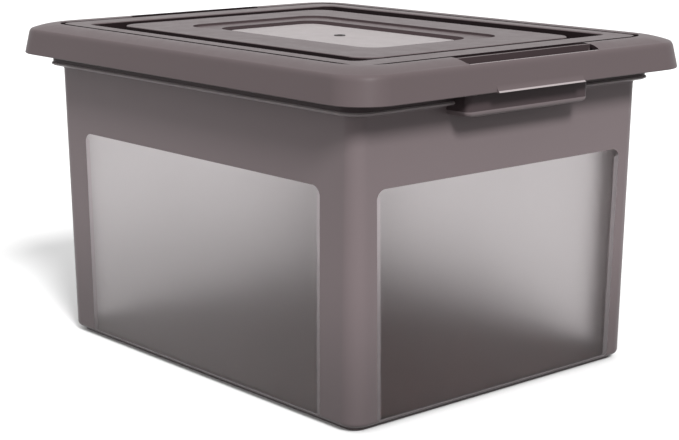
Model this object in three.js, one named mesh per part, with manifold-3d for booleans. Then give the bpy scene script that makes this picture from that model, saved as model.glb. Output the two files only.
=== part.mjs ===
// A plastic file box for hanging folders: a smoke-grey tub with frosted windows, and its lift-off lid.
// Millimetres, +Z up, the long side along X, the floor at Z = 0.
import * as THREE from 'three';
import { mergeVertices } from 'three/addons/utils/BufferGeometryUtils.js';
import Module from 'manifold-3d';

const wasm = await Module();
wasm.setup();

// Tub: the outline where the walls meet the floor, its draft and its wall
const TUB_LENGTH = 384;
const TUB_WIDTH = 305.5;
const TUB_CORNER = 15.6;
const DRAFT_ENDS = 0.0135;
const DRAFT_SIDES = 0.0085;
const TUB_WALL = 2.4;
const FLOOR_THICKNESS = 2.4;
const FOOT_HEIGHT = 4;
const FOOT_INSET = 7;
const BASE_FILLET = 4;

// Rim: the band that stands out from the wall, and the flange and lip that the lid covers
const RIM_TOP = 266.5;
const BAND_HEIGHT = 28.7;
const BAND_STEP = 7.7;
const BAND_UNDERCUT = 1.6;
const BAND_CORNER = 16.5;
const BEAD_HEIGHT = 3;
const BEAD_REACH = 1.4;
const RIM_REACH_ENDS = 18.3;
const RIM_REACH_SIDES = 11.2;
const RIM_CORNER = 23.7;
const RIM_LIP = 10.7;
const RIM_ROUNDING = 1.1;
const RAIL_HEIGHT = 5.4;
const RAIL_THICKNESS = 2.2;

// Hand grips under the rim at both ends
const GRIP_LENGTH = 131.4;
const GRIP_REACH = 14.6;
const GRIP_DROP = 37.4;
const GRIP_ROUNDING = 4.5;

// Frosted windows, thinner areas of the four walls
const WINDOW_DROP = 84.6;
const WINDOW_FOOT = 2;
const WINDOW_DEPTH = 1;
const WINDOW_BEVEL = 4.3;
const WINDOW_CORNER = 8;
const WINDOW_FOOT_CORNER = 1.5;
const SIDE_WINDOW_MARGIN = 38.4;
const END_WINDOW_MARGIN = 21.3;
const END_WINDOW_LEAN = 0.02;

// Lid: its skin, the skirt and the domed border
const LID_SKIN = 2.4;
const LID_SPACE = 4.9;
const LID_CORNER = 31;
const LID_RISE = 7;
const SKIRT_HEIGHT = 25.7;
const SKIRT_LEAN = 2.6;
const SHOULDER_TOP_INSET = 5;
const SHOULDER_DROP = 9.3;
const DOME_DROP = 4.1;
const CREST_INSET = 22.5;
const EDGE_ROUNDING = 0.6;

// Lid: border line, flat strip, channel, panel, recess and thin centre, from the outside inwards
const LINE_INSET_ENDS = 27;
const LINE_INSET_SIDES = 25.9;
const LINE_CORNER = 17;
const LINE_DROP = 0.4;
const GROOVE_WIDTH = 3;
const GROOVE_DEPTH = 1.2;
const STRIP_DROP = 0.7;
const STRIP_WIDTH_ENDS = 27;
const STRIP_WIDTH_SIDES = 17.6;
const STRIP_CORNER = 9;
const CHANNEL_DEPTH = 9.6;
const CHANNEL_WIDTH_ENDS = 13.7;
const CHANNEL_WIDTH_SIDES = 23;
const MOULD_DRAFT = 0.8;
const PANEL_DROP = 1.9;
const PANEL_CORNER = 18;
const PANEL_BORDER = 40.4;
const RECESS_CORNER = 20;
const RECESS_STEP = 2.1;
const LEDGE_WIDTH = 18;
const CENTRE_SLOPE = 7.2;
const CENTRE_STEP = 2.1;
const CENTRE_CORNER = 13;
const CENTRE_SKIN = 1.6;
const GATE_RADIUS = 4.8;
const GATE_HEIGHT = 0.6;

// Lid: rib that rests on the rim, scoops and finger lips at both ends, snap beads inside the skirt
const CONTACT_GAP = 0.3;
const SEAT_RIB_INSET = 16.2;
const SEAT_RIB = 1.6;
const SCOOP_LENGTH = 146;
const SCOOP_FRONT = 7;
const SCOOP_SLOPE = 3;
const SCOOP_EDGE_DROP = 4;
const FINGER_LIP_LENGTH = 94;
const FINGER_LIP_REACH = 2.5;
const FINGER_LIP_HEIGHT = 9;
const SNAP_LENGTH = 96;
const SNAP_HEIGHT = 3;

const CORNER_STEPS = 7;
const CURVE_STEPS = 4;
const OVERLAP = 1;

const TUB_COLOUR = 0x6f6467;
const LID_COLOUR = 0x6e6466;

// A rounded rectangle about the vertical axis
function outline(halfLength, halfWidth, corner) {
  return { halfLength, halfWidth, corner };
}

function grow(shape, distance) {
  const corner = Math.max(shape.corner + distance, EDGE_ROUNDING);
  return outline(shape.halfLength + distance, shape.halfWidth + distance, corner);
}

function inset(shape, distance, corner) {
  return outline(shape.halfLength - distance, shape.halfWidth - distance, corner);
}

function outlinePoints(shape) {
  const x = shape.halfLength - shape.corner;
  const y = shape.halfWidth - shape.corner;
  const points = [];
  for (let quarter = 0; quarter < 4; quarter += 1) {
    const signX = quarter === 0 || quarter === 3 ? 1 : -1;
    const signY = quarter < 2 ? 1 : -1;
    for (let step = 0; step <= CORNER_STEPS; step += 1) {
      const angle = (quarter + step / CORNER_STEPS) * Math.PI / 2;
      const px = signX * x + shape.corner * Math.cos(angle);
      const py = signY * y + shape.corner * Math.sin(angle);
      points.push(new THREE.Vector2(px, py));
    }
  }
  return points;
}

// A closed skin through rings of equal point count, capped facing up at the first and down at the last
function loft(rings) {
  const count = rings[0].length;
  const positions = rings.flat().flatMap((point) => [point.x, point.y, point.z]);
  const index = [];
  for (let ring = 0; ring + 1 < rings.length; ring += 1) {
    for (let i = 0; i < count; i += 1) {
      const a = ring * count + i;
      const b = ring * count + (i + 1) % count;
      index.push(a, a + count, b + count, a, b + count, b);
    }
  }
  const last = (rings.length - 1) * count;
  for (const [a, b, c] of THREE.ShapeUtils.triangulateShape(rings[0], [])) {
    index.push(a, b, c);
  }
  for (const [a, b, c] of THREE.ShapeUtils.triangulateShape(rings[rings.length - 1], [])) {
    index.push(last + a, last + c, last + b);
  }
  const geometry = new THREE.BufferGeometry();
  geometry.setAttribute('position', new THREE.Float32BufferAttribute(positions, 3));
  geometry.setIndex(index);
  return geometry;
}

function ringAt(shape, z) {
  return outlinePoints(shape).map((point) => new THREE.Vector3(point.x, point.y, z));
}

// section: pairs of an outline and its height
function loftSection(section) {
  return loft(section.map(([shape, z]) => ringAt(shape, z)));
}

function solidOf(geometry) {
  const bare = geometry.clone();
  bare.deleteAttribute('normal');
  bare.deleteAttribute('uv');
  const merged = mergeVertices(bare, 1e-4);
  return new wasm.Manifold(new wasm.Mesh({
    numProp: 3,
    vertProperties: new Float32Array(merged.attributes.position.array),
    triVerts: new Uint32Array(merged.index.array),
  }));
}

function meshOf(name, solid, material) {
  const result = solid.getMesh();
  const geometry = new THREE.BufferGeometry();
  geometry.setAttribute('position', new THREE.Float32BufferAttribute(result.vertProperties, 3));
  geometry.setIndex(Array.from(result.triVerts));
  geometry.computeVertexNormals();
  const mesh = new THREE.Mesh(geometry, material);
  mesh.name = name;
  return mesh;
}

// A profile in the XZ plane, pulled along Y to the given length about its middle
function barAlongY(profile, length) {
  const shape = new THREE.Shape(profile.map(([x, z]) => new THREE.Vector2(x, z)));
  const bar = new THREE.ExtrudeGeometry(shape, { depth: length, bevelEnabled: false });
  bar.rotateX(Math.PI / 2);
  bar.translate(0, length / 2, 0);
  return bar;
}

// The same solid at both ends of the box
function atBothEnds(geometry) {
  const other = geometry.clone().rotateZ(Math.PI);
  return solidOf(geometry).add(solidOf(other));
}

// The tub's outer wall surface at a height
function wallAt(z) {
  const rise = z - FOOT_HEIGHT;
  return outline(
    TUB_LENGTH / 2 + DRAFT_ENDS * rise,
    TUB_WIDTH / 2 + DRAFT_SIDES * rise,
    TUB_CORNER - DRAFT_ENDS * rise,
  );
}

const bandFoot = RIM_TOP - BAND_HEIGHT;
const wallAtBand = wallAt(bandFoot);
const band = outline(wallAtBand.halfLength + BAND_STEP, wallAtBand.halfWidth + BAND_STEP, BAND_CORNER);
const rim = outline(band.halfLength + RIM_REACH_ENDS, band.halfWidth + RIM_REACH_SIDES, RIM_CORNER);
const flangeUnderside = RIM_TOP - TUB_WALL;

const lidTop = RIM_TOP + LID_RISE;
const skirtFoot = lidTop - SKIRT_HEIGHT;
const lidEdge = LID_SPACE + LID_SKIN;
const lid = outline(rim.halfLength + lidEdge, rim.halfWidth + lidEdge, LID_CORNER);
const line = outline(lid.halfLength - LINE_INSET_ENDS, lid.halfWidth - LINE_INSET_SIDES, LINE_CORNER);

// Outer surface of the tub from the rim lip down to the underside of the foot
function tubOutside() {
  const foot = grow(wallAt(FOOT_HEIGHT), -FOOT_INSET);
  const section = [
    [grow(rim, -TUB_WALL), RIM_TOP - RIM_LIP],
    [grow(rim, -TUB_WALL), flangeUnderside],
    [grow(band, EDGE_ROUNDING), flangeUnderside],
    [band, flangeUnderside - EDGE_ROUNDING],
    [band, bandFoot + BEAD_HEIGHT],
    [grow(band, BEAD_REACH), bandFoot + BEAD_HEIGHT * 2 / 3],
    [grow(band, BEAD_REACH), bandFoot + BEAD_HEIGHT / 3],
    [grow(band, -EDGE_ROUNDING), bandFoot],
    [grow(wallAtBand, EDGE_ROUNDING), bandFoot - BAND_UNDERCUT],
    [wallAt(bandFoot - 2 * BAND_UNDERCUT), bandFoot - 2 * BAND_UNDERCUT],
  ];
  for (let step = 0; step <= CURVE_STEPS; step += 1) {
    const angle = (step / CURVE_STEPS) * Math.PI / 2;
    const tuck = BASE_FILLET * (1 - Math.cos(angle));
    const height = FOOT_HEIGHT + BASE_FILLET * (1 - Math.sin(angle));
    section.push([grow(wallAt(height), -tuck), height]);
  }
  section.push([foot, FOOT_HEIGHT]);
  section.push([foot, RIM_ROUNDING]);
  section.push([grow(foot, -RIM_ROUNDING), 0]);
  return section;
}

// Inner surface of the tub from the middle of the floor up to the top of the rim
function tubInside() {
  const foot = grow(wallAt(FOOT_HEIGHT), -FOOT_INSET - TUB_WALL);
  const floor = FOOT_HEIGHT + FLOOR_THICKNESS;
  const ledge = bandFoot + FLOOR_THICKNESS;
  const innerWall = (z) => grow(wallAt(z), -TUB_WALL);
  const innerBand = grow(band, -TUB_WALL);
  const rail = grow(innerWall(ledge), RAIL_THICKNESS);
  const section = [
    [grow(foot, -EDGE_ROUNDING), FLOOR_THICKNESS],
    [foot, floor],
  ];
  for (let step = CURVE_STEPS; step >= 0; step -= 1) {
    const angle = (step / CURVE_STEPS) * Math.PI / 2;
    const radius = BASE_FILLET - TUB_WALL / 2;
    const height = floor + radius * (1 - Math.sin(angle));
    section.push([grow(innerWall(height), -radius * (1 - Math.cos(angle))), height]);
  }
  section.push([innerWall(ledge), ledge]);
  section.push([innerWall(ledge), ledge + RAIL_HEIGHT]);
  section.push([rail, ledge + RAIL_HEIGHT]);
  section.push([rail, ledge]);
  section.push([innerBand, ledge]);
  section.push([innerBand, RIM_TOP - RIM_ROUNDING]);
  section.push([grow(innerBand, RIM_ROUNDING), RIM_TOP]);
  section.push([grow(rim, -RIM_ROUNDING), RIM_TOP]);
  section.push([rim, RIM_TOP - RIM_ROUNDING]);
  section.push([rim, RIM_TOP - RIM_LIP]);
  return section;
}

// The space behind the outer wall surface, so that a grip ends inside the wall
function wallCore() {
  const top = RIM_TOP + OVERLAP;
  return solidOf(loftSection([
    [grow(band, -OVERLAP), top],
    [grow(band, -OVERLAP), bandFoot + OVERLAP],
    [grow(wallAtBand, -OVERLAP), bandFoot - OVERLAP],
    [grow(wallAt(FOOT_HEIGHT), -OVERLAP), FOOT_HEIGHT],
  ]));
}

// Plan of a grip at the +X end, drawn about the end of the band
function gripRing(tuck, z) {
  const reach = band.halfLength + GRIP_REACH - tuck;
  const root = TUB_LENGTH / 2 - BAND_STEP;
  const grip = outline((reach - root) / 2, GRIP_LENGTH / 2 - tuck, GRIP_ROUNDING);
  return outlinePoints(grip).map((point) => new THREE.Vector3(point.x + (reach + root) / 2, point.y, z));
}

function gripShell() {
  const foot = RIM_TOP - GRIP_DROP;
  const top = flangeUnderside + OVERLAP;
  const rings = [gripRing(0, top)];
  for (let step = 0; step <= CURVE_STEPS; step += 1) {
    const angle = (step / CURVE_STEPS) * Math.PI / 2;
    const tuck = GRIP_ROUNDING * (1 - Math.cos(angle));
    rings.push(gripRing(tuck, foot + GRIP_ROUNDING * (1 - Math.sin(angle))));
  }
  const hollow = [
    gripRing(TUB_WALL, top + OVERLAP),
    gripRing(TUB_WALL, foot + GRIP_ROUNDING),
    gripRing(GRIP_ROUNDING + OVERLAP, foot + TUB_WALL),
    gripRing(GRIP_ROUNDING + OVERLAP, foot - OVERLAP),
  ];
  return atBothEnds(loft(rings)).subtract(atBothEnds(loft(hollow)));
}

// Cutter for one window: flat (across, up) points with the depth along the wall's outward side
function windowCutter(halfWidth, lean) {
  const top = RIM_TOP - WINDOW_DROP;
  const foot = FOOT_HEIGHT + WINDOW_FOOT;
  const middle = (top + foot) / 2;
  const slopes = [
    [WINDOW_BEVEL, WINDOW_DEPTH],
    [-WINDOW_BEVEL, -WINDOW_DEPTH],
  ];
  return loft(slopes.map(([spread, depth]) => {
    const upper = outlinePoints(grow(outline(halfWidth, (top - foot) / 2, WINDOW_CORNER), spread));
    const lower = outlinePoints(grow(outline(halfWidth, (top - foot) / 2, WINDOW_FOOT_CORNER), spread));
    return upper.map((point, i) => (point.y > 0 ? point : lower[i])).map((point) => {
      const across = point.x * (1 + lean * (point.y - (top - foot) / 2) / halfWidth);
      return new THREE.Vector3(across, middle + point.y, depth);
    });
  }));
}

function windowCuts() {
  const atTop = wallAt(RIM_TOP - WINDOW_DROP);
  const end = windowCutter(atTop.halfWidth - END_WINDOW_MARGIN, END_WINDOW_LEAN);
  const side = windowCutter(atTop.halfLength - SIDE_WINDOW_MARGIN, DRAFT_ENDS);
  const ground = wallAt(0);
  end.applyMatrix4(new THREE.Matrix4().set(
    0, DRAFT_ENDS, 1, ground.halfLength,
    1, 0, 0, 0,
    0, 1, 0, 0,
    0, 0, 0, 1,
  ));
  side.applyMatrix4(new THREE.Matrix4().set(
    -1, 0, 0, 0,
    0, DRAFT_SIDES, 1, ground.halfWidth,
    0, 1, 0, 0,
    0, 0, 0, 1,
  ));
  return atBothEnds(end).add(atBothEnds(side));
}

function makeTub() {
  const body = solidOf(loftSection([...tubInside(), ...tubOutside()]));
  const grips = gripShell().subtract(wallCore());
  const solid = body.subtract(windowCuts()).add(grips);
  const plastic = new THREE.MeshStandardMaterial({
    color: TUB_COLOUR,
    roughness: 0.4,
    metalness: 0,
    transparent: true,
    opacity: 0.8,
  });
  return meshOf('tub', solid, plastic);
}

// Height lost by the domed border at a distance in from the lid's edge
function domeDrop(distance) {
  const left = (CREST_INSET - distance) / (CREST_INSET - SHOULDER_TOP_INSET);
  return DOME_DROP * left * left;
}

function domeInsets(from) {
  const insets = [];
  for (let step = 0; step <= CURVE_STEPS; step += 1) {
    insets.push(CREST_INSET + (from - CREST_INSET) * step / CURVE_STEPS);
  }
  return insets;
}

function shoulderPoints() {
  const foot = new THREE.Vector2(SKIRT_LEAN, SHOULDER_DROP);
  const bend = new THREE.Vector2(SKIRT_LEAN + EDGE_ROUNDING, DOME_DROP + EDGE_ROUNDING);
  const top = new THREE.Vector2(SHOULDER_TOP_INSET, DOME_DROP);
  return new THREE.QuadraticBezierCurve(top, bend, foot).getPoints(CURVE_STEPS);
}

// The nested outlines of the lid's top, worked inwards from the border line
function lidPlan() {
  const strip = outline(line.halfLength - STRIP_WIDTH_ENDS, line.halfWidth - STRIP_WIDTH_SIDES, STRIP_CORNER);
  const panel = outline(
    strip.halfLength - CHANNEL_WIDTH_ENDS,
    strip.halfWidth - CHANNEL_WIDTH_SIDES,
    PANEL_CORNER,
  );
  const recess = inset(panel, PANEL_BORDER, RECESS_CORNER);
  const ledge = inset(recess, LEDGE_WIDTH, RECESS_CORNER - MOULD_DRAFT);
  const centre = inset(ledge, CENTRE_SLOPE, CENTRE_CORNER);
  return { strip, panel, recess, ledge, centre };
}

const plan = lidPlan();
const panelTop = lidTop - PANEL_DROP;
const ledgeTop = panelTop - RECESS_STEP;
const centreTop = ledgeTop - CENTRE_STEP;
const stripTop = lidTop - STRIP_DROP;
const channelFloor = stripTop - CHANNEL_DEPTH;

function lidUpperSide() {
  const { strip, panel, recess, ledge, centre } = plan;
  const section = [
    [centre, centreTop],
    [ledge, ledgeTop],
    [grow(recess, -MOULD_DRAFT), ledgeTop],
    [recess, panelTop],
    [grow(panel, -EDGE_ROUNDING), panelTop],
    [panel, panelTop - EDGE_ROUNDING],
    [grow(panel, MOULD_DRAFT), channelFloor],
    [grow(strip, -MOULD_DRAFT), channelFloor],
    [strip, stripTop - EDGE_ROUNDING],
    [grow(strip, EDGE_ROUNDING), stripTop],
    [grow(line, -GROOVE_WIDTH), stripTop],
    [grow(line, -GROOVE_WIDTH), stripTop - GROOVE_DEPTH],
    [line, stripTop - GROOVE_DEPTH],
    [line, lidTop - LINE_DROP],
  ];
  for (const distance of domeInsets(SHOULDER_TOP_INSET).slice(0, -1)) {
    section.push([inset(lid, distance, LID_CORNER), lidTop - domeDrop(distance)]);
  }
  for (const point of shoulderPoints()) {
    section.push([inset(lid, point.x, LID_CORNER), lidTop - point.y]);
  }
  section.push([lid, skirtFoot + EDGE_ROUNDING]);
  section.push([inset(lid, EDGE_ROUNDING, LID_CORNER), skirtFoot]);
  return section;
}

function lidUnderside() {
  const { strip, panel, recess, ledge, centre } = plan;
  const ribOuter = inset(lid, SEAT_RIB_INSET, LID_CORNER);
  const ribInner = inset(lid, SEAT_RIB_INSET + SEAT_RIB, LID_CORNER);
  const ribFoot = RIM_TOP + CONTACT_GAP;
  const underDome = SHOULDER_TOP_INSET + LID_SKIN;
  const section = [
    [grow(rim, LID_SPACE), skirtFoot],
    [grow(rim, LID_SPACE - SKIRT_LEAN), lidTop - SHOULDER_DROP],
    [grow(rim, lidEdge - underDome), lidTop - domeDrop(underDome) - LID_SKIN],
    [ribOuter, lidTop - domeDrop(SEAT_RIB_INSET) - LID_SKIN],
    [ribOuter, ribFoot],
    [ribInner, ribFoot],
    [ribInner, lidTop - domeDrop(SEAT_RIB_INSET + SEAT_RIB) - LID_SKIN],
    [grow(line, GROOVE_WIDTH), lidTop - LINE_DROP - LID_SKIN],
    [grow(line, -2 * GROOVE_WIDTH), stripTop - GROOVE_DEPTH - LID_SKIN],
    [grow(strip, LID_SKIN), stripTop - LID_SKIN],
    [grow(strip, LID_SKIN - MOULD_DRAFT), channelFloor - LID_SKIN],
    [grow(panel, MOULD_DRAFT - LID_SKIN), channelFloor - LID_SKIN],
    [grow(panel, -LID_SKIN), panelTop - LID_SKIN],
    [grow(recess, LID_SKIN), panelTop - LID_SKIN],
    [grow(recess, LID_SKIN - MOULD_DRAFT), ledgeTop - LID_SKIN],
    [grow(ledge, LID_SKIN - MOULD_DRAFT), ledgeTop - LID_SKIN],
    [grow(centre, MOULD_DRAFT), centreTop - CENTRE_SKIN],
  ];
  return section;
}

// Slot in the border between two distances along X, its ends sloping in towards the bottom
function scoopSlot(from, to, foot) {
  const top = lidTop + OVERLAP;
  const slot = new THREE.BoxGeometry(to - from, SCOOP_LENGTH, top - foot);
  slot.translate((from + to) / 2, 0, (top + foot) / 2);
  const position = slot.attributes.position;
  for (let i = 0; i < position.count; i += 1) {
    if (position.getZ(i) < (top + foot) / 2) {
      position.setY(i, position.getY(i) - Math.sign(position.getY(i)) * SCOOP_SLOPE);
    }
  }
  return slot;
}

function scoopCuts() {
  const ribOuter = lid.halfLength - SEAT_RIB_INSET;
  const through = RIM_TOP + CONTACT_GAP;
  const inner = scoopSlot(line.halfLength - GROOVE_WIDTH, ribOuter - SEAT_RIB, through);
  const outer = scoopSlot(ribOuter, lid.halfLength - SCOOP_FRONT, through);
  const edge = scoopSlot(lid.halfLength - SCOOP_FRONT - OVERLAP, lid.halfLength, lidTop - SCOOP_EDGE_DROP);
  return atBothEnds(inner).add(atBothEnds(outer)).add(atBothEnds(edge));
}

function fingerLips() {
  const foot = skirtFoot - EDGE_ROUNDING;
  const skirtSlope = SKIRT_LEAN / (lidTop - SHOULDER_DROP - skirtFoot);
  const profile = [[lid.halfLength - EDGE_ROUNDING - OVERLAP, foot]];
  for (let step = 0; step <= CURVE_STEPS; step += 1) {
    const height = FINGER_LIP_HEIGHT * step / CURVE_STEPS;
    const flare = FINGER_LIP_REACH * (1 - step / CURVE_STEPS) ** 2;
    profile.push([lid.halfLength - skirtSlope * height + flare, foot + EDGE_ROUNDING + height]);
  }
  profile.push([lid.halfLength - SKIRT_LEAN - OVERLAP, foot + FINGER_LIP_HEIGHT]);
  return barAlongY(profile, FINGER_LIP_LENGTH);
}

// Beads that pass just outside the rim lip and sit below it when the lid is on
function snapBeads() {
  const top = RIM_TOP - RIM_LIP - CONTACT_GAP;
  const tip = rim.halfLength + CONTACT_GAP;
  const root = lid.halfLength - LID_SKIN / 2 - SKIRT_LEAN / 2;
  return barAlongY([
    [tip, top - SNAP_HEIGHT / 2],
    [root, top - SNAP_HEIGHT],
    [root, top],
  ], SNAP_LENGTH);
}

// The raised ring left at the middle of the lid where the plastic flowed in
function gateMark() {
  const foot = centreTop - CENTRE_SKIN / 2;
  const top = centreTop + GATE_HEIGHT;
  const profile = [
    new THREE.Vector2(GATE_RADIUS / 2, foot),
    new THREE.Vector2(GATE_RADIUS, foot),
    new THREE.Vector2(GATE_RADIUS, top - GATE_HEIGHT / 2),
    new THREE.Vector2(GATE_RADIUS - GATE_HEIGHT / 2, top),
    new THREE.Vector2(GATE_RADIUS / 2, top),
    new THREE.Vector2(GATE_RADIUS / 2, foot),
  ];
  return solidOf(new THREE.LatheGeometry(profile, 4 * CORNER_STEPS).rotateX(Math.PI / 2));
}

function makeLid() {
  const shell = solidOf(loftSection([...lidUpperSide(), ...lidUnderside()]));
  const solid = shell
    .subtract(scoopCuts())
    .add(atBothEnds(fingerLips()))
    .add(atBothEnds(snapBeads()))
    .add(gateMark());
  const plastic = new THREE.MeshStandardMaterial({ color: LID_COLOUR, roughness: 0.4, metalness: 0 });
  return meshOf('lid', solid, plastic);
}

const fileBox = new THREE.Group();
fileBox.add(makeTub());
fileBox.add(makeLid());

export default fileBox;
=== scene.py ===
import math

import bpy
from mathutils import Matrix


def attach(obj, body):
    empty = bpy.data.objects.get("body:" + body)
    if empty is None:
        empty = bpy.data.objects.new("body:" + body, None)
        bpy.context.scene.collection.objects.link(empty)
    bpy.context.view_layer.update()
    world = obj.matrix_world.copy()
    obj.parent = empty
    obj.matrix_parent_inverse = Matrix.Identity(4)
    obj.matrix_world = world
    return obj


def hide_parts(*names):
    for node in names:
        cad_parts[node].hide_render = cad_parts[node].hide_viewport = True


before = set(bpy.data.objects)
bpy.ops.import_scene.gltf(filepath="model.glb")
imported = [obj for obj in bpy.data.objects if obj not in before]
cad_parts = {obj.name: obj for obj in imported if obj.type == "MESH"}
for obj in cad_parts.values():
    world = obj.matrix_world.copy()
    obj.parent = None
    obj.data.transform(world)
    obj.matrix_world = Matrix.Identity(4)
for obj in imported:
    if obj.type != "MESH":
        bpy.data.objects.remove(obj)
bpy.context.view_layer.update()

# Sizes are in millimetres, and MM turns them into Blender's metres
MM = 0.001
CORNER_STEPS = 12
CURVE_STEPS = 8
STACK_SPACING = 20
QUARTER = math.pi / 2
TUB_EDGE_ROUNDING = 0.3
LID_EDGE_ROUNDING = 0.22

# Tub: outline at the foot of its walls, their draft, and the heights of its parts
TUB_HALF = (192, 152.75, 15.6)
DRAFT_ENDS = 0.0135
DRAFT_SIDES = 0.0085
WALL = 2.4
FOOT_HEIGHT = 4
FOOT_INSET = 7
BASE_FILLET = 4
BAND_FOOT = 237.8
BAND_STEP = 7.7
BAND_UNDERCUT = 1.6
BAND_CORNER = 16.5
BEAD_HEIGHT = 3
BEAD_REACH = 1.4
RIM_TOP = 266.5
RIM_HALF = (221.16, 173.64, 23.7)
RIM_LIP = 10.7
RAIL_HEIGHT = 5.4
RAIL_THICKNESS = 2.2
SMALL_EDGE = 0.6

# Grips, and the thin windows in the walls
GRIP_HALF_LENGTH = 65.7
GRIP_FACE = 217.46
# Height above which the grips' faces are painted dark as the shade under the lid
GRIP_SHADE = 237
GRIP_ROOT = 184.3
GRIP_FOOT = 229.1
GRIP_ROUNDING = 4.5
WINDOW_TOP = 181.9
WINDOW_FOOT = 6
WINDOW_DEPTH = 1
WINDOW_BEVEL = 4.3
WINDOW_FOOT_BEVEL = 1.3
WINDOW_CORNER = 8
WINDOW_FOOT_CORNER = 1.5
SIDE_WINDOW = (155.98, 0.985)
END_WINDOW = (132.96, 0.974)
PANE_BACK = 0.05
FLAT_PANE = 0.99
LOWEST_BEVEL_TILT = -0.11
# Painted shade: below this height the plastics are darkened towards the foot, down to this share of
# their colour
PAINTED_SHADE_HEIGHT = 130
PAINTED_FOOT_SHADE = 0.6

# Lid: outlines from the outside inwards, and its heights
LID_HALF = (228.46, 180.94, 31)
LID_TOP = 273.5
LID_SKIN = 2.4
SKIRT_FOOT = 247.8
SKIRT_SPACE = 4.9
SKIRT_LEAN = 2.6
SHOULDER_DROP = 9.3
SHOULDER_TOP = 5
DOME_DROP = 4.1
CREST = 22.5
LINE_HALF = (201.46, 155.04, 17)
LINE_TOP = 272.8
GROOVE_WIDTH = 4
GROOVE_FOOT = 271.6
STRIP_HALF = (174.46, 137.44, 9)
STRIP_TOP = 272.8
CHANNEL_FLOOR = 263.2
MOULD_DRAFT = 0.8
PANEL_HALF = (160.76, 114.44, 18)
PANEL_TOP = 271.6
RECESS_HALF = (120.36, 74.04, 20)
LEDGE_TOP = 269.5
LEDGE_HALF = (102.36, 56.04, 19.2)
CENTRE_HALF = (95.16, 48.84, 13)
CENTRE_TOP = 267.4
CENTRE_SKIN = 1.6
GATE_RADIUS = 4.8
GATE_HEIGHT = 0.6
SCOOP_HALF_LENGTH = 73
SCOOP_SLOPE = 3
SLOT_CORNER = 0.4
SCOOP_FRONT = 7
SCOOP_EDGE_DROP = 4
LIP_HALF_LENGTH = 47
LIP_REACH = 2.5
LIP_HEIGHT = 9
SEAT_RIB = (16.2, 17.8)
SEAT_FOOT = 266.8
INNER_SLOT_FOOT = 271.4
SNAP_GAP = 0.3
SNAP_HEIGHT = 3
SNAP_HALF_LENGTH = 48


def grow(shape, distance):
    return (shape[0] + distance, shape[1] + distance, max(shape[2] + distance, SMALL_EDGE))


def inset_keeping_corner(shape, distance):
    return (shape[0] - distance, shape[1] - distance, shape[2])


def wall_at(height):
    rise = height - FOOT_HEIGHT
    length, width, corner = TUB_HALF
    return (length + DRAFT_ENDS * rise, width + DRAFT_SIDES * rise, corner - DRAFT_ENDS * rise)


WALL_AT_BAND = wall_at(BAND_FOOT)
BAND_HALF = (WALL_AT_BAND[0] + BAND_STEP, WALL_AT_BAND[1] + BAND_STEP, BAND_CORNER)


# Modelling steps

def select_nothing():
    if bpy.context.mode != "OBJECT":
        bpy.ops.object.mode_set(mode="OBJECT")
    bpy.ops.object.select_all(action="DESELECT")


def make_active(piece):
    select_nothing()
    piece.select_set(True)
    bpy.context.view_layer.objects.active = piece


def lay_loop(shape, height, middle=0.0):
    """In edit mode: a plane of the loop's size with its four corners rounded, kept as a wire."""
    place = (middle * MM, 0, height * MM)
    bpy.ops.mesh.primitive_plane_add(size=2, location=place)
    bpy.ops.transform.resize(value=(shape[0] * MM, shape[1] * MM, 1), center_override=place)
    bpy.ops.mesh.bevel(offset=shape[2] * MM, segments=CORNER_STEPS, affect="VERTICES")
    bpy.ops.mesh.delete(type="ONLY_FACE")


def pick_vertices(piece, chosen):
    """In edit mode: selects only the vertices whose index is in the chosen set."""
    bpy.ops.mesh.select_all(action="DESELECT")
    bpy.ops.object.mode_set(mode="OBJECT")
    for index in chosen:
        piece.data.vertices[index].select = True
    bpy.ops.object.mode_set(mode="EDIT")


def moulded(name, section, middle=0.0):
    """A closed skin bridged through rounded loops, each given as its outline and height.

    The loops are laid and bridged as an even stack, and then each one is moved to its own height."""
    select_nothing()
    bpy.ops.mesh.primitive_plane_add(size=1)
    piece = bpy.context.active_object
    piece.name = name
    piece.data.name = name
    bpy.ops.object.mode_set(mode="EDIT")
    bpy.ops.mesh.select_mode(type="VERT")
    bpy.ops.mesh.delete(type="VERT")
    for step, (shape, _) in enumerate(section):
        lay_loop(shape, step * STACK_SPACING, middle)
    count = 4 * (CORNER_STEPS + 1)
    for step in range(len(section) - 1):
        pick_vertices(piece, range(step * count, (step + 2) * count))
        bpy.ops.mesh.bridge_edge_loops()
    for step, (_, height) in enumerate(section):
        pick_vertices(piece, range(step * count, (step + 1) * count))
        if step in (0, len(section) - 1):
            bpy.ops.mesh.edge_face_add()
        bpy.ops.transform.translate(value=(0, 0, (height - step * STACK_SPACING) * MM))
    bpy.ops.mesh.select_all(action="SELECT")
    bpy.ops.mesh.normals_make_consistent(inside=False)
    select_nothing()
    return piece


def settle(piece, location=(0, 0, 0), turn=(0, 0, 0)):
    """Puts the piece in place and lets its mesh keep that place."""
    make_active(piece)
    piece.location = location
    piece.rotation_euler = turn
    bpy.ops.object.transform_apply(location=True, rotation=True, scale=True)


def join(pieces):
    select_nothing()
    for piece in pieces:
        piece.select_set(True)
    bpy.context.view_layer.objects.active = pieces[0]
    bpy.ops.object.join()
    return pieces[0]


def turned_copy(piece, turn):
    """A copy with its own mesh, turned about the box's upright middle line."""
    make_active(piece)
    bpy.ops.object.duplicate()
    other = bpy.context.active_object
    settle(other, turn=(0, 0, turn))
    return other


def carve(piece, tool, operation):
    """Cuts the tool out of the piece, or joins it on, and removes the tool."""
    make_active(piece)
    change = piece.modifiers.new(operation.lower(), "BOOLEAN")
    change.operation = operation
    change.solver = "EXACT"
    change.material_mode = "TRANSFER"
    change.object = tool
    bpy.ops.object.modifier_apply(modifier=change.name)
    bpy.data.objects.remove(tool)


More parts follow.
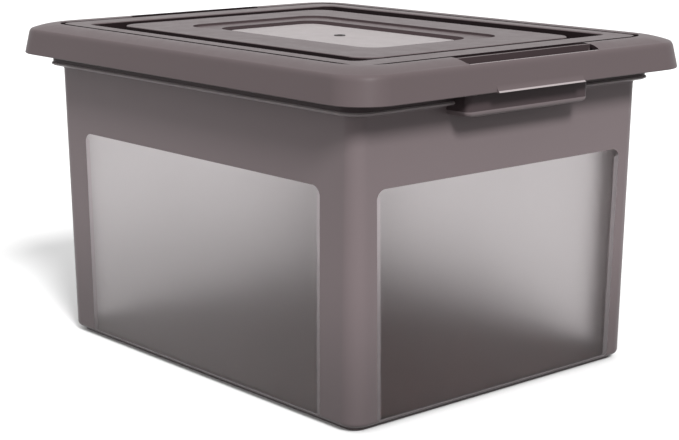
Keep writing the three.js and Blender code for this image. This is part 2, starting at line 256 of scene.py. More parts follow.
def round_edges(piece, width):
    """Rounds the sharp edges of a moulded shell, before the cuts are made in it."""
    make_active(piece)
    edge = piece.modifiers.new("rounded_edges", "BEVEL")
    edge.width = width * MM
    edge.segments = 2
    edge.limit_method = "ANGLE"
    edge.angle_limit = math.radians(32)
    edge.use_clamp_overlap = False
    bpy.ops.object.modifier_apply(modifier=edge.name)


def even_shading(piece):
    """Shades the curves smooth and the flat faces flat."""
    make_active(piece)
    bpy.ops.object.shade_smooth_by_angle(angle=math.radians(40))
    even = piece.modifiers.new("even_shading", "WEIGHTED_NORMAL")
    even.keep_sharp = True
    bpy.ops.object.modifier_apply(modifier=even.name)


# Finishes

def group_socket(group, name, kind, direction, value=None):
    socket = group.interface.new_socket(name=name, in_out=direction, socket_type=kind)
    if value is not None:
        socket.default_value = value


def make_moulded_satin():
    """Faint flow clouds, fine mould grain and uneven sheen of an injection-moulded surface, with painted
    shade that darkens the colour towards the foot.
    """
    group = bpy.data.node_groups.new("moulded_satin", "ShaderNodeTree")
    group_socket(group, "Colour", "NodeSocketColor", "INPUT", (0.2, 0.2, 0.2, 1))
    group_socket(group, "Roughness", "NodeSocketFloat", "INPUT", 0.4)
    group_socket(group, "Clouding", "NodeSocketFloat", "INPUT", 0.05)
    group_socket(group, "Painted Foot Shade", "NodeSocketFloat", "INPUT", 1.0)
    group_socket(group, "Colour", "NodeSocketColor", "OUTPUT")
    group_socket(group, "Roughness", "NodeSocketFloat", "OUTPUT")
    group_socket(group, "Grain", "NodeSocketFloat", "OUTPUT")
    nodes, links = group.nodes, group.links
    entry = nodes.new("NodeGroupInput")
    leave = nodes.new("NodeGroupOutput")
    place = nodes.new("ShaderNodeTexCoord")
    clouds = nodes.new("ShaderNodeTexNoise")
    clouds.inputs["Scale"].default_value = 9
    clouds.inputs["Detail"].default_value = 3
    grain = nodes.new("ShaderNodeTexNoise")
    grain.inputs["Scale"].default_value = 1400
    grain.inputs["Detail"].default_value = 2
    scuffs = nodes.new("ShaderNodeTexNoise")
    scuffs.inputs["Scale"].default_value = 60
    scuffs.inputs["Detail"].default_value = 6
    scuffs.inputs["Roughness"].default_value = 0.7
    for noise in (clouds, grain, scuffs):
        links.new(place.outputs["Object"], noise.inputs["Vector"])
    spread = nodes.new("ShaderNodeMath")
    spread.operation = "MULTIPLY_ADD"
    links.new(clouds.outputs["Fac"], spread.inputs[0])
    links.new(entry.outputs["Clouding"], spread.inputs[1])
    spread.inputs[2].default_value = 0.97
    split = nodes.new("ShaderNodeSeparateXYZ")
    links.new(place.outputs["Object"], split.inputs[0])
    # Painted shade: the colour is darkened towards the foot and reaches full colour at the shade height
    painted_foot_shade = nodes.new("ShaderNodeMapRange")
    painted_foot_shade.interpolation_type = "SMOOTHSTEP"
    painted_foot_shade.inputs["From Max"].default_value = PAINTED_SHADE_HEIGHT * MM
    links.new(entry.outputs["Painted Foot Shade"], painted_foot_shade.inputs["To Min"])
    links.new(split.outputs["Z"], painted_foot_shade.inputs["Value"])
    shaded = nodes.new("ShaderNodeMath")
    shaded.operation = "MULTIPLY"
    links.new(spread.outputs[0], shaded.inputs[0])
    links.new(painted_foot_shade.outputs["Result"], shaded.inputs[1])
    tone = nodes.new("ShaderNodeVectorMath")
    tone.operation = "SCALE"
    links.new(entry.outputs["Colour"], tone.inputs[0])
    links.new(shaded.outputs[0], tone.inputs["Scale"])
    links.new(tone.outputs[0], leave.inputs["Colour"])
    sheen = nodes.new("ShaderNodeMapRange")
    sheen.inputs["From Min"].default_value = 0.35
    sheen.inputs["From Max"].default_value = 0.7
    sheen.inputs["To Min"].default_value = -0.03
    sheen.inputs["To Max"].default_value = 0.05
    links.new(scuffs.outputs["Fac"], sheen.inputs["Value"])
    total = nodes.new("ShaderNodeMath")
    total.operation = "ADD"
    links.new(entry.outputs["Roughness"], total.inputs[0])
    links.new(sheen.outputs[0], total.inputs[1])
    links.new(total.outputs[0], leave.inputs["Roughness"])
    links.new(grain.outputs["Fac"], leave.inputs["Grain"])
    return group


moulded_satin = make_moulded_satin()


def plastic(name, colour, roughness, grain_depth, shine=0.2, transmission=0.0, ior=1.46):
    material = bpy.data.materials.new(name)
    material.use_nodes = True
    material.diffuse_color = (*colour, 1)
    nodes, links = material.node_tree.nodes, material.node_tree.links
    shader = nodes["Principled BSDF"]
    satin = nodes.new("ShaderNodeGroup")
    satin.node_tree = moulded_satin
    satin.inputs["Colour"].default_value = (*colour, 1)
    satin.inputs["Roughness"].default_value = roughness
    satin.inputs["Clouding"].default_value = 0.04
    # painted shade towards the foot for every plastic but the clear windows
    satin.inputs["Painted Foot Shade"].default_value = 1 if transmission == 1 else PAINTED_FOOT_SHADE
    if grain_depth:
        bump = nodes.new("ShaderNodeBump")
        bump.inputs["Strength"].default_value = 0.25
        bump.inputs["Distance"].default_value = grain_depth * MM
        links.new(satin.outputs["Grain"], bump.inputs["Height"])
        links.new(bump.outputs["Normal"], shader.inputs["Normal"])
    links.new(satin.outputs["Colour"], shader.inputs["Base Color"])
    if transmission == 1:
        shader.inputs["Roughness"].default_value = roughness
    else:
        links.new(satin.outputs["Roughness"], shader.inputs["Roughness"])
    shader.inputs["Metallic"].default_value = 0
    shader.inputs["IOR"].default_value = ior
    shader.inputs["Specular IOR Level"].default_value = shine
    shader.inputs["Transmission Weight"].default_value = transmission
    if transmission == 1:
        shader.inputs["Specular Tint"].default_value = (0.3, 0.2, 0.19, 1)
    return material


smoke_plastic = plastic("smoke_grey_plastic", (0.168, 0.136, 0.141), 0.38, 0.02)
lid_plastic = plastic("lid_smoke_plastic", (0.11, 0.087, 0.09), 0.4, 0.02, shine=0.1)
# Painted shade: the dark tone of the band, the rim and the grips' upper faces stands in for the shade
# under the lid
under_lid_shade_plastic = plastic("painted_shade_under_lid_plastic", (0.062, 0.046, 0.049), 0.42, 0.02, shine=0.1)
# Painted shade: near black in the lid's channel, groove and scoop slots, where shade falls
deep_shade_plastic = plastic("painted_deep_shade_plastic", (0.014, 0.009, 0.01), 0.5, 0.02, shine=0.05)
# Painted shade: dark on the recess walls in the lid's middle and on the rib's front face in the scoops
recess_shade_plastic = plastic("painted_recess_shade_plastic", (0.05, 0.037, 0.039), 0.5, 0.02, shine=0.0)
# Painted light: the inner walls are pale, standing in for the light that comes through the translucent
# walls
inner_wall_light_plastic = plastic("painted_light_inner_wall_plastic", (0.42, 0.37, 0.375), 0.45, 0.02, shine=0.1)
# Painted shade: the floor inside the tub is darker and warmer than the walls, for the shade inside the
# closed box
inner_floor_shade_plastic = plastic("painted_shade_inner_floor_plastic", (0.12, 0.07, 0.066), 0.5, 0.02, shine=0.05)
# Painted highlight: pale on the band's bead, the scoops' front edges and the finger lips' lower edge
highlight_edge_plastic = plastic("painted_highlight_edge_plastic", (0.34, 0.3, 0.305), 0.38, 0.01)
window_plastic = plastic(
    "frosted_window", (0.7, 0.677, 0.682), 0.32, 0, shine=0.08, transmission=1.0, ior=1.4)
# Window bevels: a paler, partly diffuse frosted finish that is partly painted light, giving a light line
# along the foot bevel
bevel_light_plastic = plastic(
    "frosted_window_bevel_painted_light", (0.66, 0.59, 0.61), 0.34, 0, shine=0.1, transmission=0.8, ior=1.4)
centre_plastic = plastic(
    "frosted_lid_centre", (0.54, 0.48, 0.485), 0.38, 0.01, transmission=0.5, ior=1.4)
# Painted shade: the gate ring is near black, for the shade round the raised ring
gate_ring_shade_plastic = plastic("gate_ring_painted_shade", (0.03, 0.025, 0.025), 0.4, 0.01)


def paint_faces(piece, slot, chosen):
    """Gives the faces whose middle and normal pass the test another of the piece's materials."""
    for face in piece.data.polygons:
        if chosen(*(abs(value) / MM for value in face.center[:2]), face.center.z / MM, face.normal):
            face.material_index = slot


def reach_past(shape, x, y):
    """How far a point of the first quarter lies outside a rounded outline."""
    over_x = x - shape[0] + shape[2]
    over_y = y - shape[1] + shape[2]
    beyond = math.hypot(max(over_x, 0), max(over_y, 0))
    return beyond + min(max(over_x, over_y), 0) - shape[2]


def finish_with(piece, *materials):
    piece.data.materials.clear()
    for material in materials:
        piece.data.materials.append(material)


# Tub

# Places in the list of materials that make_tub gives the tub
SMOKE_SLOT, WINDOW_SLOT, BEVEL_LIGHT_SLOT, UNDER_LID_SHADE_SLOT, INNER_FLOOR_SHADE_SLOT, INNER_WALL_LIGHT_SLOT, BEAD_HIGHLIGHT_SLOT = range(7)


def tub_section():
    floor = FOOT_HEIGHT + WALL
    ledge = BAND_FOOT + WALL
    inner_foot = grow(wall_at(FOOT_HEIGHT), -FOOT_INSET - WALL)
    section = [(grow(inner_foot, -SMALL_EDGE), WALL), (inner_foot, floor)]
    radius = BASE_FILLET - WALL / 2
    for step in range(CURVE_STEPS, -1, -1):
        angle = step / CURVE_STEPS * QUARTER
        height = floor + radius * (1 - math.sin(angle))
        section.append((grow(wall_at(height), -WALL - radius * (1 - math.cos(angle))), height))
    inner_wall = grow(wall_at(ledge), -WALL)
    rail = grow(inner_wall, RAIL_THICKNESS)
    inner_band = grow(BAND_HALF, -WALL)
    section += [
        (inner_wall, ledge + RAIL_HEIGHT), (rail, ledge + RAIL_HEIGHT), (rail, ledge),
        (inner_band, ledge), (inner_band, RIM_TOP),
        (RIM_HALF, RIM_TOP), (RIM_HALF, RIM_TOP - RIM_LIP),
        (grow(RIM_HALF, -WALL), RIM_TOP - RIM_LIP), (grow(RIM_HALF, -WALL), RIM_TOP - WALL),
        (BAND_HALF, RIM_TOP - WALL), (BAND_HALF, BAND_FOOT + BEAD_HEIGHT),
        (grow(BAND_HALF, BEAD_REACH), BAND_FOOT + BEAD_HEIGHT * 2 / 3),
        (grow(BAND_HALF, BEAD_REACH), BAND_FOOT + BEAD_HEIGHT / 3),
        (grow(BAND_HALF, -SMALL_EDGE), BAND_FOOT),
        (grow(WALL_AT_BAND, SMALL_EDGE), BAND_FOOT - BAND_UNDERCUT),
        (wall_at(BAND_FOOT - 2 * BAND_UNDERCUT), BAND_FOOT - 2 * BAND_UNDERCUT),
    ]
    for step in range(CURVE_STEPS + 1):
        angle = step / CURVE_STEPS * QUARTER
        height = FOOT_HEIGHT + BASE_FILLET * (1 - math.sin(angle))
        section.append((grow(wall_at(height), -BASE_FILLET * (1 - math.cos(angle))), height))
    foot = grow(wall_at(FOOT_HEIGHT), -FOOT_INSET)
    section += [(foot, FOOT_HEIGHT), (foot, 1), (grow(foot, -1), 0)]
    return section


def make_grips():
    """Both end grips: hollow shells open below, ending inside the wall."""
    middle = (GRIP_FACE + GRIP_ROOT) / 2
    half = (GRIP_FACE - GRIP_ROOT) / 2
    outside = (half, GRIP_HALF_LENGTH, GRIP_ROUNDING)
    section = [(outside, RIM_TOP - 1)]
    for step in range(7):
        angle = step / 6 * QUARTER
        tuck = GRIP_ROUNDING * (1 - math.cos(angle))
        shape = (outside[0] - tuck, outside[1] - tuck, GRIP_ROUNDING)
        section.append((shape, GRIP_FOOT + GRIP_ROUNDING * (1 - math.sin(angle))))
    grip = moulded("grips", section, middle)
    inside = (half - WALL, GRIP_HALF_LENGTH - WALL, GRIP_ROUNDING)
    mouth = (half - GRIP_ROUNDING - 1, GRIP_HALF_LENGTH - GRIP_ROUNDING - 1, GRIP_ROUNDING)
    hollow = moulded("grip_hollow", [
        (inside, RIM_TOP), (inside, GRIP_FOOT + GRIP_ROUNDING),
        (mouth, GRIP_FOOT + WALL), (mouth, GRIP_FOOT - 1),
    ], middle)
    carve(grip, hollow, "DIFFERENCE")
    core = moulded("wall_core", [
        (grow(BAND_HALF, -1), RIM_TOP + 1), (grow(BAND_HALF, -1), BAND_FOOT + 1),
        (grow(WALL_AT_BAND, -1), BAND_FOOT - 1), (grow(wall_at(FOOT_HEIGHT), -1), FOOT_HEIGHT),
    ])
    carve(grip, core, "DIFFERENCE")
    return join([grip, turned_copy(grip, math.pi)])


def window_cutter(half_width, foot_share, outwards, spread, depths, lean, distance):
    """A slab with sloping edges that stands in a wall, narrower at its foot."""
    half_height = (WINDOW_TOP - WINDOW_FOOT) / 2
    outline = (half_width, half_height, WINDOW_CORNER)
    section = [(grow(outline, slope), depth) for depth, slope in zip(depths, (spread, -spread))]
    cutter = moulded("window_cutter", section)
    make_active(cutter)
    places = [tuple(value / MM for value in v.co) for v in cutter.data.vertices]
    bpy.ops.object.mode_set(mode="EDIT")
    for (shape, depth), slope in zip(section, (spread, -spread)):
        tighter = max(WINDOW_FOOT_CORNER + slope, SMALL_EDGE) / shape[2]
        for side in (-1, 1):
            pick_vertices(cutter, [
                index for index, (x, y, z) in enumerate(places)
                if abs(z - depth) < SMALL_EDGE / 2 and y < shape[2] - shape[1] + 0.01
                and side * x > shape[0] - shape[2] - 0.01
            ])
            corner = (side * shape[0] * MM, -shape[1] * MM, depth * MM)
            bpy.ops.transform.resize(value=(tighter, tighter, 1), center_override=corner)
        pick_vertices(cutter, [
            index for index, (_, y, z) in enumerate(places)
            if abs(z - depth) < SMALL_EDGE / 2 and y < 0
        ])
        narrower = slope * (1 - WINDOW_FOOT_BEVEL / WINDOW_BEVEL)
        bpy.ops.transform.translate(value=(0, narrower * MM, 0))
    pick_vertices(cutter, [index for index, (_, y, _) in enumerate(places) if y < 0])
    bpy.ops.transform.resize(value=(foot_share, 1, 1), center_override=(0, 0, 0))
    select_nothing()
    height = (WINDOW_TOP + WINDOW_FOOT) / 2
    reach = (distance + lean * (height - FOOT_HEIGHT)) * MM
    place = (reach * math.sin(outwards), -reach * math.cos(outwards), height * MM)
    settle(cutter, place, (QUARTER + math.atan(lean), 0, outwards))
    return cutter


def make_window_cutters():
    cutters = []
    for quarter in range(4):
        half_width, share = END_WINDOW if quarter % 2 else SIDE_WINDOW
        lean = DRAFT_ENDS if quarter % 2 else DRAFT_SIDES
        distance = TUB_HALF[0] if quarter % 2 else TUB_HALF[1]
        outwards = quarter * QUARTER
        cutters.append(window_cutter(
            half_width, share, outwards, WINDOW_BEVEL, (WINDOW_DEPTH, -WINDOW_DEPTH), lean, distance))
        back = (-WALL + PANE_BACK, -WALL - 1)
        cutters.append(window_cutter(
            half_width + WINDOW_BEVEL, share, outwards, 0, back, lean, distance))
    return join(cutters)


def make_tub():
    tub = moulded("tub_shell", tub_section())
    round_edges(tub, TUB_EDGE_ROUNDING)
    finish_with(
        tub, smoke_plastic, window_plastic, bevel_light_plastic, under_lid_shade_plastic,
        inner_floor_shade_plastic, inner_wall_light_plastic, highlight_edge_plastic)
    grips = make_grips()
    finish_with(grips, smoke_plastic)
    carve(tub, grips, "UNION")
    cutters = make_window_cutters()
    finish_with(cutters, window_plastic)
    carve(tub, cutters, "DIFFERENCE")
    even_shading(tub)
    for face in tub.data.polygons:
        if face.material_index == WINDOW_SLOT:
            # Window bevel faces, all but the top one, get the paler bevel finish with its painted light
            flat = max(abs(face.normal.x), abs(face.normal.y)) > FLAT_PANE
            if not flat and face.normal.z > LOWEST_BEVEL_TILT:
                face.material_index = BEVEL_LIGHT_SLOT
        elif face.material_index == SMOKE_SLOT:
            x, y, z = (value / MM for value in face.center)
            depth = reach_past(wall_at(z), abs(x), abs(y))
            past_band = reach_past(BAND_HALF, abs(x), abs(y))
            on_grip = abs(x) > BAND_HALF[0] + BEAD_REACH + 0.2
            inwards = face.normal.x * x + face.normal.y * y < 0
            # Painted shade on the floor inside
            if depth < -1 and z < FOOT_HEIGHT + WALL + 1 and face.normal.z > 0.5:
                face.material_index = INNER_FLOOR_SHADE_SLOT
            # Painted light on the inner wall faces
            elif inwards and abs(depth + WALL) < 0.5:
                face.material_index = INNER_WALL_LIGHT_SLOT
            # Painted shade under the lid on the grips' upper faces
            elif on_grip and z > GRIP_SHADE:
                face.material_index = UNDER_LID_SHADE_SLOT
            # Painted highlight on the band's bead
            elif not on_grip and past_band > 0.2 and BAND_FOOT < z < BAND_FOOT + BEAD_HEIGHT:
                face.material_index = BEAD_HIGHLIGHT_SLOT
            # Painted shade under the lid on the band and rim above the bead
            elif not on_grip and past_band > -0.5 and z > BAND_FOOT + BEAD_HEIGHT:
                face.material_index = UNDER_LID_SHADE_SLOT
    return tub


# Lid

# Places in the list of materials that make_lid gives the lid
CENTRE_SLOT, DEEP_SHADE_SLOT, RECESS_SHADE_SLOT, LID_HIGHLIGHT_SLOT = 1, 3, 4, 5


def dome_height(distance):
    left = (CREST - distance) / (CREST - SHOULDER_TOP)
    return LID_TOP - DOME_DROP * left * left


def lid_section():
    section = [
        (CENTRE_HALF, CENTRE_TOP), (LEDGE_HALF, LEDGE_TOP), (grow(RECESS_HALF, -MOULD_DRAFT), LEDGE_TOP),
        (RECESS_HALF, PANEL_TOP), (grow(PANEL_HALF, -SMALL_EDGE), PANEL_TOP),
        (PANEL_HALF, PANEL_TOP - SMALL_EDGE), (grow(PANEL_HALF, MOULD_DRAFT), CHANNEL_FLOOR),
        (grow(STRIP_HALF, -MOULD_DRAFT), CHANNEL_FLOOR), (STRIP_HALF, STRIP_TOP - SMALL_EDGE),
        (grow(STRIP_HALF, SMALL_EDGE), STRIP_TOP), (grow(LINE_HALF, -GROOVE_WIDTH), STRIP_TOP),
        (grow(LINE_HALF, -GROOVE_WIDTH), GROOVE_FOOT), (LINE_HALF, GROOVE_FOOT), (LINE_HALF, LINE_TOP),
    ]
    for step in range(CURVE_STEPS):
        distance = CREST + (SHOULDER_TOP - CREST) * step / CURVE_STEPS
        section.append((inset_keeping_corner(LID_HALF, distance), dome_height(distance)))
    for step in range(CURVE_STEPS + 1):
        share = step / CURVE_STEPS
        out = (1 - share) ** 2 * SHOULDER_TOP + 2 * share * (1 - share) * (SKIRT_LEAN + SMALL_EDGE)
        out += share * share * SKIRT_LEAN
        drop = (1 - share) ** 2 * DOME_DROP + 2 * share * (1 - share) * (DOME_DROP + SMALL_EDGE)
        drop += share * share * SHOULDER_DROP
        section.append((inset_keeping_corner(LID_HALF, out), LID_TOP - drop))
    under_dome = SHOULDER_TOP + LID_SKIN
    edge = SKIRT_SPACE + LID_SKIN
    section += [
        (LID_HALF, SKIRT_FOOT + SMALL_EDGE), (inset_keeping_corner(LID_HALF, SMALL_EDGE), SKIRT_FOOT),
        (grow(RIM_HALF, SKIRT_SPACE), SKIRT_FOOT),
        (grow(RIM_HALF, SKIRT_SPACE - SKIRT_LEAN), LID_TOP - SHOULDER_DROP),
        (grow(RIM_HALF, edge - under_dome), dome_height(under_dome) - LID_SKIN),
        (inset_keeping_corner(LID_HALF, SEAT_RIB[0]), dome_height(SEAT_RIB[0]) - LID_SKIN),
        (inset_keeping_corner(LID_HALF, SEAT_RIB[0]), SEAT_FOOT),
        (inset_keeping_corner(LID_HALF, SEAT_RIB[1]), SEAT_FOOT),
        (inset_keeping_corner(LID_HALF, SEAT_RIB[1]), dome_height(SEAT_RIB[1]) - LID_SKIN),
        (grow(LINE_HALF, GROOVE_WIDTH), LINE_TOP - LID_SKIN),
        (grow(LINE_HALF, -2 * GROOVE_WIDTH), GROOVE_FOOT - LID_SKIN),
        (grow(STRIP_HALF, LID_SKIN), STRIP_TOP - LID_SKIN),
        (grow(STRIP_HALF, LID_SKIN - MOULD_DRAFT), CHANNEL_FLOOR - LID_SKIN),
        (grow(PANEL_HALF, MOULD_DRAFT - LID_SKIN), CHANNEL_FLOOR - LID_SKIN),
        (grow(PANEL_HALF, -LID_SKIN), PANEL_TOP - LID_SKIN),
        (grow(RECESS_HALF, LID_SKIN), PANEL_TOP - LID_SKIN),
        (grow(RECESS_HALF, LID_SKIN - MOULD_DRAFT), LEDGE_TOP - LID_SKIN),
        (grow(LEDGE_HALF, LID_SKIN - MOULD_DRAFT), LEDGE_TOP - LID_SKIN),
        (grow(CENTRE_HALF, MOULD_DRAFT), CENTRE_TOP - CENTRE_SKIN),
    ]
    return section


def scoop_slot(start, end, foot):
    """A slot in the border whose ends slope in towards the bottom."""
    middle = (start + end) / 2
    half = (end - start) / 2
    return moulded("scoop_slot", [
        ((half, SCOOP_HALF_LENGTH, SLOT_CORNER), LID_TOP + 1),
        ((half, SCOOP_HALF_LENGTH - SCOOP_SLOPE, SLOT_CORNER), foot),
    ], middle)


def along_y(name, profile, half_length):
    """A profile of X and Z points, drawn as a face and extruded along Y."""
    select_nothing()
    bpy.ops.mesh.primitive_circle_add(vertices=len(profile), radius=MM, fill_type="NGON")
    piece = bpy.context.active_object
    piece.name = name
    for vertex, (x, z) in zip(piece.data.vertices, profile):
        vertex.co = (x * MM, -half_length * MM, z * MM)
    bpy.ops.object.mode_set(mode="EDIT")
    bpy.ops.mesh.select_all(action="SELECT")
    bpy.ops.mesh.extrude_region_move(TRANSFORM_OT_translate={"value": (0, 2 * half_length * MM, 0)})
    bpy.ops.mesh.select_all(action="SELECT")
    bpy.ops.mesh.normals_make_consistent(inside=False)
    select_nothing()
    return piece


def gate_ring():
    """The raised ring at the lid's middle: a short post whose top is inset and pushed in."""
    select_nothing()
    height = CENTRE_SKIN / 2 + GATE_HEIGHT
    bpy.ops.mesh.primitive_cylinder_add(
        vertices=48, radius=GATE_RADIUS * MM, depth=height * MM,
        location=(0, 0, (CENTRE_TOP + GATE_HEIGHT - height / 2) * MM))
    ring = bpy.context.active_object
    ring.name = "gate_ring"
    bpy.ops.object.transform_apply(location=True, rotation=True, scale=True)
    top = [v.index for v in ring.data.vertices if v.co.z > CENTRE_TOP * MM]
    bpy.ops.object.mode_set(mode="EDIT")
    pick_vertices(ring, top)
    bpy.ops.mesh.inset(thickness=GATE_RADIUS / 2 * MM, depth=0)
    bpy.ops.mesh.extrude_region_move(TRANSFORM_OT_translate={"value": (0, 0, -GATE_HEIGHT * MM)})
    select_nothing()
    return ring


def make_lid():
    lid = moulded("lid_shell", lid_section())
    round_edges(lid, LID_EDGE_ROUNDING)
    finish_with(
        lid, lid_plastic, centre_plastic, gate_ring_shade_plastic, deep_shade_plastic, recess_shade_plastic, highlight_edge_plastic)
    rib_face = LID_HALF[0] - SEAT_RIB[0]
    slot_edge = LID_HALF[0] - SCOOP_FRONT
    slots = [
        scoop_slot(LINE_HALF[0] - GROOVE_WIDTH, LID_HALF[0] - SEAT_RIB[1], INNER_SLOT_FOOT),
        scoop_slot(rib_face, slot_edge, SEAT_FOOT),
    ]
    cutter = join(slots + [turned_copy(slot, math.pi) for slot in slots])
    # The cutters carry the painted deep shade onto the faces they cut
    finish_with(cutter, deep_shade_plastic)
    carve(lid, cutter, "DIFFERENCE")
    edge = scoop_slot(slot_edge - 1, LID_HALF[0], LID_TOP - SCOOP_EDGE_DROP)
    edges = join([edge, turned_copy(edge, math.pi)])
    finish_with(edges, deep_shade_plastic)
    carve(lid, edges, "DIFFERENCE")
    foot = SKIRT_FOOT - SMALL_EDGE
    skirt_slope = SKIRT_LEAN / (LID_TOP - SHOULDER_DROP - SKIRT_FOOT)
    flare = [(LID_HALF[0] - SMALL_EDGE - 1, foot)]
    for step in range(CURVE_STEPS + 1):
        height = LIP_HEIGHT * step / CURVE_STEPS
        reach = LID_HALF[0] - skirt_slope * height + LIP_REACH * (1 - step / CURVE_STEPS) ** 4
        flare.append((reach, foot + SMALL_EDGE + height))
    flare.append((LID_HALF[0] - SKIRT_LEAN - 1, foot + LIP_HEIGHT))
    lip = along_y("finger_lip", flare, LIP_HALF_LENGTH)
    bead_top = RIM_TOP - RIM_LIP - SNAP_GAP
    bead_root = LID_HALF[0] - LID_SKIN / 2 - SKIRT_LEAN / 2
    bead = along_y("snap_bead", [
        (RIM_HALF[0] + SNAP_GAP, bead_top - SNAP_HEIGHT / 2),
        (bead_root, bead_top - SNAP_HEIGHT), (bead_root, bead_top),
    ], SNAP_HALF_LENGTH)
    for trim in (lip, bead):
        pair = join([trim, turned_copy(trim, math.pi)])
        finish_with(pair, lid_plastic)
        carve(lid, pair, "UNION")
    ring = gate_ring()
    # The gate ring carries the painted shade
    finish_with(ring, gate_ring_shade_plastic)
    carve(lid, ring, "UNION")
    even_shading(lid)
    paint_faces(lid, CENTRE_SLOT, lambda x, y, z, normal: (
        reach_past(CENTRE_HALF, x, y) < 0 and math.hypot(x, y) > GATE_RADIUS + 0.1))
    # Painted shade in the channel round the panel
    paint_faces(lid, DEEP_SHADE_SLOT, lambda x, y, z, normal: (
        reach_past(STRIP_HALF, x, y) < 0.1 and reach_past(PANEL_HALF, x, y) > -0.1
        and CHANNEL_FLOOR - 0.5 < z < PANEL_TOP - 0.5))
    # Painted shade in the groove inside the border line
    paint_faces(lid, DEEP_SHADE_SLOT, lambda x, y, z, normal: (
        reach_past(STRIP_HALF, x, y) > 5 and reach_past(LINE_HALF, x, y) < 0.1
        and GROOVE_FOOT - 0.1 < z < STRIP_TOP - 0.02))
    # Painted shade on the step from the ledge down to the centre
    paint_faces(lid, RECESS_SHADE_SLOT, lambda x, y, z, normal: (
        -0.1 < reach_past(CENTRE_HALF, x, y) and reach_past(LEDGE_HALF, x, y) < 0.1
        and CENTRE_TOP < z < LEDGE_TOP))
    # Painted shade on the recess wall from the panel down to the ledge
    paint_faces(lid, RECESS_SHADE_SLOT, lambda x, y, z, normal: (
        -1 < reach_past(RECESS_HALF, x, y) < 0.1 and LEDGE_TOP + 0.2 < z < PANEL_TOP - 0.1))
    # Painted shade on the walls of the scoop slots
    paint_faces(lid, DEEP_SHADE_SLOT, lambda x, y, z, normal: (
        LINE_HALF[0] < x < slot_edge + 0.2 and y < SCOOP_HALF_LENGTH and normal.z < 0.8
        and SEAT_FOOT - 0.2 < z < STRIP_TOP))
    # Painted shade, a little lighter than the slots, on the rib's front face
    paint_faces(lid, RECESS_SHADE_SLOT, lambda x, y, z, normal: (
        abs(x - rib_face) < 0.3 and y < SCOOP_HALF_LENGTH and abs(normal.x) > 0.7
        and SEAT_FOOT - 0.2 < z < STRIP_TOP))
    # Painted highlight on the narrow floor at the scoops' front edges
    paint_faces(lid, LID_HIGHLIGHT_SLOT, lambda x, y, z, normal: (
        x > slot_edge and y < SCOOP_HALF_LENGTH and normal.z > 0.99
        and z < LID_TOP - SCOOP_EDGE_DROP + 0.1))
    # Painted highlight along the finger lips' lower edge
    paint_faces(lid, LID_HIGHLIGHT_SLOT, lambda x, y, z, normal: (
        x > LID_HALF[0] + LIP_REACH / 2 and y < LIP_HALF_LENGTH and z < SKIRT_FOOT + 1.2))
    return lid


tub_shell = make_tub()
lid_shell = make_lid()

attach(tub_shell, "tub")
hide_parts("tub")
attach(lid_shell, "lid")
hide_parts("lid")


# Floor, light and camera
BRIGHT_SIDE = (-0.1, -0.8, 0.59)
BRIGHT_LEVEL = 1.1
DIM_LEVEL = 0.0
FLOOR_BOUNCE = 0.12
FLOOR_SEEN = 0.93
PHOTO_SIZE = (679, 440)
SENSOR_WIDTH = 36
FOCAL_PIXELS = 1667.16
LENS_MIDDLE = (342.33, 223.77)
CAMERA_PLACE = (1.05899, -0.91618, 0.41694)
CAMERA_DIP = 12.538
CAMERA_BEARING = 49.046


def make_floor():
    select_nothing()
    bpy.ops.mesh.primitive_plane_add(size=40)
    floor = bpy.context.active_object
    floor.name = "floor"
    material = bpy.data.materials.new("pale_floor")
    material.use_nodes = True
    nodes, links = material.node_tree.nodes, material.node_tree.links
    shader = nodes["Principled BSDF"]
    shader.inputs["Roughness"].default_value = 0.6
    shader.inputs["Specular IOR Level"].default_value = 0.1
    seen = seen_rays(nodes, links)
    tone = nodes.new("ShaderNodeMix")
    tone.data_type = "RGBA"
    tone.inputs["A"].default_value = (FLOOR_BOUNCE, FLOOR_BOUNCE, FLOOR_BOUNCE, 1)
    tone.inputs["B"].default_value = (FLOOR_SEEN, FLOOR_SEEN, FLOOR_SEEN, 1)
    links.new(seen, tone.inputs["Factor"])
    links.new(tone.outputs["Result"], shader.inputs["Base Color"])
    floor.data.materials.append(material)


def seen_rays(nodes, links):
    """1 for the rays that see the background: camera, glossy and transmission rays."""
    path = nodes.new("ShaderNodeLightPath")
    first = nodes.new("ShaderNodeMath")
    first.operation = "MAXIMUM"
    links.new(path.outputs["Is Camera Ray"], first.inputs[0])
    links.new(path.outputs["Is Glossy Ray"], first.inputs[1])
    second = nodes.new("ShaderNodeMath")
    second.operation = "MAXIMUM"
    links.new(first.outputs[0], second.inputs[0])
    links.new(path.outputs["Is Transmission Ray"], second.inputs[1])
    return second.outputs[0]


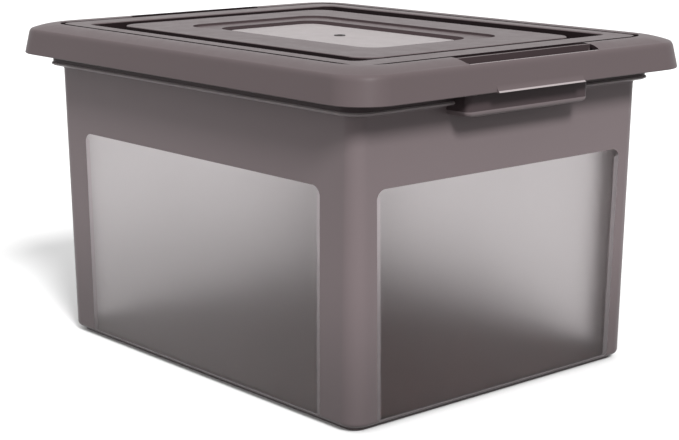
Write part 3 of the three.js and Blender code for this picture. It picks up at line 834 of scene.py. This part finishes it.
def make_world():
    world = bpy.data.worlds.new("studio")
    bpy.context.scene.world = world
    world.use_nodes = True
    nodes, links = world.node_tree.nodes, world.node_tree.links
    sky = nodes["Background"]
    seen = seen_rays(nodes, links)
    place = nodes.new("ShaderNodeTexCoord")
    towards = nodes.new("ShaderNodeVectorMath")
    towards.operation = "DOT_PRODUCT"
    towards.inputs[1].default_value = BRIGHT_SIDE
    links.new(place.outputs["Generated"], towards.inputs[0])
    dome = nodes.new("ShaderNodeMapRange")
    dome.inputs["From Min"].default_value = -1
    dome.inputs["To Min"].default_value = DIM_LEVEL
    dome.inputs["To Max"].default_value = BRIGHT_LEVEL
    links.new(towards.outputs["Value"], dome.inputs["Value"])
    level = nodes.new("ShaderNodeMapRange")
    level.inputs["To Max"].default_value = 1.0
    links.new(dome.outputs["Result"], level.inputs["To Min"])
    links.new(seen, level.inputs["Value"])
    sky.inputs["Color"].default_value = (1, 1, 1, 1)
    links.new(level.outputs["Result"], sky.inputs["Strength"])


def add_sun(name, bearing, height, spread, level):
    """A distant soft lamp: its bearing and height in degrees, and the level it gives a white face."""
    data = bpy.data.lights.new(name, "SUN")
    data.angle = math.radians(spread)
    data.energy = level * math.pi
    lamp = bpy.data.objects.new(name, data)
    bpy.context.scene.collection.objects.link(lamp)
    lamp.rotation_euler = (math.radians(90 - height), 0, math.radians(bearing + 90))


def make_camera():
    data = bpy.data.cameras.new("photo_camera")
    data.sensor_width = SENSOR_WIDTH
    data.lens = SENSOR_WIDTH * FOCAL_PIXELS / PHOTO_SIZE[0]
    data.shift_x = (PHOTO_SIZE[0] / 2 - LENS_MIDDLE[0]) / PHOTO_SIZE[0]
    data.shift_y = (LENS_MIDDLE[1] - PHOTO_SIZE[1] / 2) / PHOTO_SIZE[0]
    camera = bpy.data.objects.new("photo_camera", data)
    bpy.context.scene.collection.objects.link(camera)
    camera.location = CAMERA_PLACE
    camera.rotation_euler = (math.radians(90 - CAMERA_DIP), 0, math.radians(CAMERA_BEARING))
    bpy.context.scene.camera = camera


make_floor()
make_world()
add_sun("key", -22, 38, 14, 1.08)
make_camera()

bpy.context.scene.view_settings.view_transform = "Standard"
